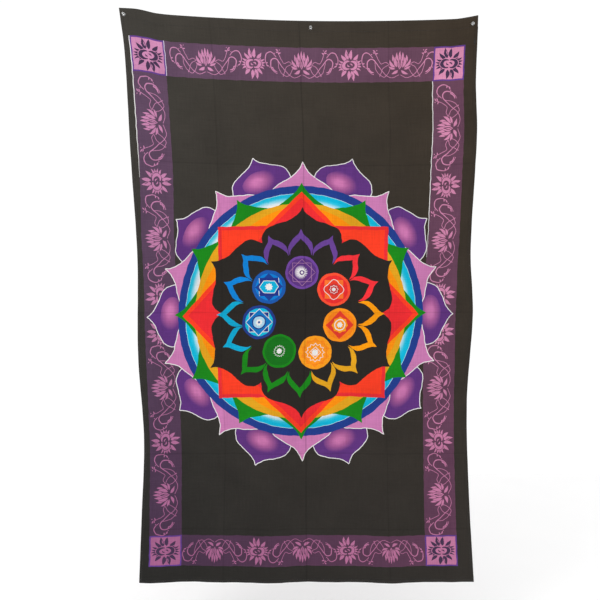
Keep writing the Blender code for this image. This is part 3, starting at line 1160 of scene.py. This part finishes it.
class Shader:
    """A node material, with short ways to add its nodes."""

    def __init__(self, name):
        self.material = bpy.data.materials.new(name)
        self.material.use_nodes = True
        self.tree = self.material.node_tree
        self.surface = self.tree.nodes["Principled BSDF"]

    def feed(self, socket, value):
        """Sets an input to a number or a colour, or joins another node's output to it."""
        if isinstance(value, bpy.types.NodeSocket):
            self.tree.links.new(value, socket)
        else:
            socket.default_value = value

    def node(self, kind, inputs, output, **settings):
        """Adds a node, feeds its inputs, and returns one of its outputs."""
        made = self.tree.nodes.new(kind)
        for name, setting in settings.items():
            setattr(made, name, setting)
        for name, value in inputs.items():
            self.feed(made.inputs[name], value)
        return made.outputs[output]

    def set(self, **values):
        for name, value in values.items():
            self.feed(self.surface.inputs[name.replace("_", " ")], value)

    def object_place(self):
        return self.node("ShaderNodeTexCoord", {}, "Object")

    def stored(self, name):
        """The values that a piece's mesh stores under the name."""
        output = "Color" if name == "dye" else "Vector"
        return self.node("ShaderNodeAttribute", {}, output, attribute_name=name)

    def colour(self, light):
        """One colour, given as the light that it reflects."""
        made = self.node("ShaderNodeRGB", {}, "Color")
        made.default_value = (*light, 1.0)
        return made

    def paint(self, light, grain, darkest, lightest):
        """Shows one colour, with its brightness spread by the grain."""
        self.set(Base_Color=self.tinted(self.colour(light), self.ranged(grain, darkest, lightest)))

    def roughen(self, grain, least, most):
        """Spreads the roughness by the grain."""
        self.set(Roughness=self.ranged(grain, least, most))

    def stretched(self, vector, scale):
        """The vector with each direction scaled."""
        return self.node("ShaderNodeMapping", {"Vector": vector, "Scale": scale}, "Vector")

    def noise(self, vector, scale, detail=2.0):
        inputs = {"Vector": vector, "Scale": scale, "Detail": detail}
        return self.node("ShaderNodeTexNoise", inputs, "Fac")

    def bands(self, vector, direction, scale):
        """Even ridges. Along X or Y, the given number of them take up about 0.31 metres."""
        inputs = {"Vector": vector, "Scale": scale}
        return self.node("ShaderNodeTexWave", inputs, "Fac", bands_direction=direction)

    def ranged(self, value, low, high, ends=(0.25, 0.75)):
        """A value between the ends, at first those of noise, spread over low to high."""
        inputs = {"Value": value, "From Min": ends[0], "From Max": ends[1], "To Min": low, "To Max": high}
        return self.node("ShaderNodeMapRange", inputs, "Result")

    def maths(self, operation, *values):
        """The outcome of an operation on one or two values."""
        return self.node("ShaderNodeMath", dict(enumerate(values)), "Value", operation=operation)

    def tinted(self, colour, value):
        """The colour with its brightness scaled by the value."""
        inputs = {"Vector": colour, "Scale": value}
        return self.node("ShaderNodeVectorMath", inputs, "Vector", operation="SCALE")

    def blended(self, first, second, share):
        inputs = {"Factor": share, "A": first, "B": (*second, 1.0)}
        return self.node("ShaderNodeMix", inputs, "Result", data_type="RGBA")

    def bumped(self, height, strength, distance):
        inputs = {"Strength": strength, "Distance": distance, "Height": height}
        self.set(Normal=self.node("ShaderNodeBump", inputs, "Normal"))


def weave(shader, place):
    """The brightness and the height of plain-woven cotton: its threads, and the thicker ones among them."""
    thick_warp = shader.noise(shader.stretched(place, (420.0, 14.0, 1.0)), 1.0, 3.0)
    thick_weft = shader.noise(shader.stretched(place, (14.0, 420.0, 1.0)), 1.0, 3.0)
    warp = shader.bands(place, "X", 340.0)
    weft = shader.bands(place, "Y", 340.0)
    streaks = shader.maths("MULTIPLY", shader.maths("ADD", thick_warp, thick_weft), 0.5)
    threads = shader.maths("MULTIPLY", warp, weft)
    return streaks, shader.maths("ADD", streaks, threads)


def fold_shade(shader, colour, place):
    """The colour with painted shade along the folds left by storage, darkest along the middle one."""
    down = [("X", fold, depth) for fold, depth in zip(FOLDS_DOWN, FOLD_SHADES_DOWN)]
    across = [("Y", fold, FOLD_SHADE) for fold in FOLDS_ACROSS]
    for axis, fold, depth in [*down, *across]:
        at = shader.node("ShaderNodeSeparateXYZ", {"Vector": place}, axis)
        distance = shader.maths("ABSOLUTE", shader.maths("SUBTRACT", at, fold))
        # Painted shade: the colour darkens within a few millimetres of each fold line.
        crease_shade = shader.ranged(distance, 1 - depth, 1.0, ends=(0.0, FOLD_SHADE_WIDTH))
        colour = shader.tinted(colour, crease_shade)
    return colour


def cotton(name, colour_of, streak=0.20, cloud=0.12):
    """Dyed plain-woven cotton. colour_of gives the dye's colour socket from the shader."""
    shader = Shader(name)
    place = shader.stored("flat_place")
    streaks, height = weave(shader, place)
    clouds = shader.noise(place, 9.0, 5.0)
    colour = colour_of(shader)
    colour = shader.tinted(colour, shader.ranged(streaks, 1 - streak, 1 + streak))
    colour = shader.tinted(colour, shader.ranged(clouds, 1 - cloud, 1 + cloud))
    shader.set(Base_Color=fold_shade(shader, colour, place))
    shader.roughen(shader.noise(place, 130.0, 3.0), 0.82, 0.96)
    shader.set(Sheen_Weight=0.05, Sheen_Roughness=0.5, Specular_IOR_Level=0.15)
    shader.bumped(height, 0.5, 0.00025)
    return shader.material


def dyed_front(shader):
    return shader.stored("dye")


def dyed_back(shader):
    """The wrong side of the cloth, where less of the dye has come through."""
    return shader.blended(dyed_front(shader), linear(UNDYED_BACK), 0.35)


def black_cloth(shader):
    return shader.colour(linear(HEM_BLACK))


def sewing_thread():
    """Twisted black cotton thread."""
    shader = Shader("sewing_thread")
    place = shader.object_place()
    lint = shader.noise(place, 900.0, 3.0)
    shader.paint(linear(THREAD_BLACK), lint, 0.7, 1.4)
    shader.roughen(lint, 0.55, 0.75)
    shader.set(Sheen_Weight=0.2, Specular_IOR_Level=0.4)
    shader.bumped(shader.bands(place, "DIAGONAL", 900.0), 0.6, 0.0001)
    return shader.material


def clear_plastic():
    """Moulded clear polystyrene, with a faint haze and flow lines."""
    shader = Shader("clear_plastic")
    flow = shader.noise(shader.stretched(shader.object_place(), (400.0, 120.0, 400.0)), 1.0, 2.0)
    shader.paint((0.90, 0.91, 0.92), flow, 0.95, 1.03)
    shader.roughen(flow, 0.05, 0.16)
    shader.set(Transmission_Weight=0.9, IOR=1.57)
    shader.bumped(flow, 0.1, 0.0001)
    return shader.material


def needle_steel():
    """Plated steel with fine grinding marks round the needle."""
    shader = Shader("needle_steel")
    marks = shader.noise(shader.stretched(shader.object_place(), (300.0, 6000.0, 300.0)), 1.0, 3.0)
    shader.paint((0.62, 0.61, 0.60), marks, 0.85, 1.1)
    shader.roughen(marks, 0.22, 0.42)
    shader.set(Metallic=1.0)
    shader.bumped(marks, 0.2, 0.00005)
    return shader.material


def floor_paint():
    shader = Shader("pale_floor")
    mottle = shader.noise(shader.object_place(), 3.0, 2.0)
    shader.paint((1.0, 1.0, 1.0), mottle, 0.985, 1.0)
    shader.set(Roughness=0.9)
    return shader.material


# ---------------------------------------------------------------- putting it together


def hang(piece, slot, *nodes):
    """Hides the CAD nodes that the piece stands in for, and bakes the piece's placement into its mesh."""
    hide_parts(*nodes)
    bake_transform(piece)


def make_object():
    front = cotton("dyed_cotton_front", dyed_front)
    back = cotton("dyed_cotton_back", dyed_back, streak=0.24, cloud=0.16)
    hem_cotton = cotton("hem_cotton", black_cloth)
    thread = sewing_thread()
    cloth = make_cloth(front, back)
    hang(cloth, "dyed_cotton", "cloth_panel")
    behind = 2 * CLOTH_THICKNESS + 0.5 * THREAD_RADIUS
    ahead = CLOTH_THICKNESS + 0.5 * THREAD_RADIUS
    sewn = []
    seams = seam_paths()
    for side in ("top", "bottom", "left", "right"):
        node = f"{side}_hem"
        hem = make_hem(f"{node}_fold", side, hem_cotton)
        hang(hem, "hem_cotton", node)
        top = make_stitches(f"{node}_top_stitches", seams[node], ahead, thread)
        hang(top, "sewing_thread", f"{node}_top_thread")
        bobbin = make_stitches(f"{node}_bobbin_stitches", seams[node], -behind, thread)
        hang(bobbin, "sewing_thread", f"{node}_bobbin_thread")
        sewn += [hem, top, bobbin]


def make_pins():
    plastic = clear_plastic()
    steel = needle_steel()
    for name, x, z in PINS:
        head = make_pin_head(f"{name}_pin_clear_head", x, z, plastic)
        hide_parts(f"{name}_pin_head")
        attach(head, f"{name}_pin")
        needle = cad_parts[f"{name}_pin_needle"]
        needle.data.materials.clear()
        needle.data.materials.append(steel)


FLOOR_HEIGHT = -1.95
ROOM_LIGHT = 1.03
EYE_PLACE = (0.0, -2.3, -0.5667)
EYE_TILT = 6.3
LENS = 44.46


def make_floor():
    corners = [(-4, -6), (4, -6), (4, 1.6), (-4, 1.6)]
    places = np.array([(x, y, FLOOR_HEIGHT) for x, y in corners])
    floor = new_piece("floor", places, np.array([[0, 1, 2, 3]]), (floor_paint(),))


def add_key_light(place, aim, width, power):
    light = bpy.data.lights.new("key", "AREA")
    light.size = width
    light.energy = power
    lamp = bpy.data.objects.new("key", light)
    lamp.location = place
    lamp.rotation_euler = (Vector(aim) - Vector(place)).to_track_quat("-Z", "Y").to_euler()
    bpy.context.scene.collection.objects.link(lamp)


def light_scene():
    world = bpy.data.worlds.new("white_room")
    world.use_nodes = True
    background = world.node_tree.nodes["Background"]
    background.inputs["Color"].default_value = (1.0, 1.0, 1.0, 1.0)
    background.inputs["Strength"].default_value = ROOM_LIGHT
    bpy.context.scene.world = world
    add_key_light(place=(-1.9, -2.0, 1.3), aim=(0.0, 0.0, -0.7), width=1.2, power=22.0)


def add_camera():
    """The viewing angle: a little above the middle of the cloth, looking slightly down."""
    camera = bpy.data.cameras.new("camera")
    camera.sensor_width = 36.0
    camera.lens = LENS
    eye = bpy.data.objects.new("camera", camera)
    eye.location = EYE_PLACE
    eye.rotation_euler = (math.radians(90.0 - EYE_TILT), 0.0, 0.0)
    bpy.context.scene.collection.objects.link(eye)
    bpy.context.scene.camera = eye


make_object()
make_pins()
make_floor()
light_scene()
add_camera()
bpy.context.scene.view_settings.view_transform = "Standard"
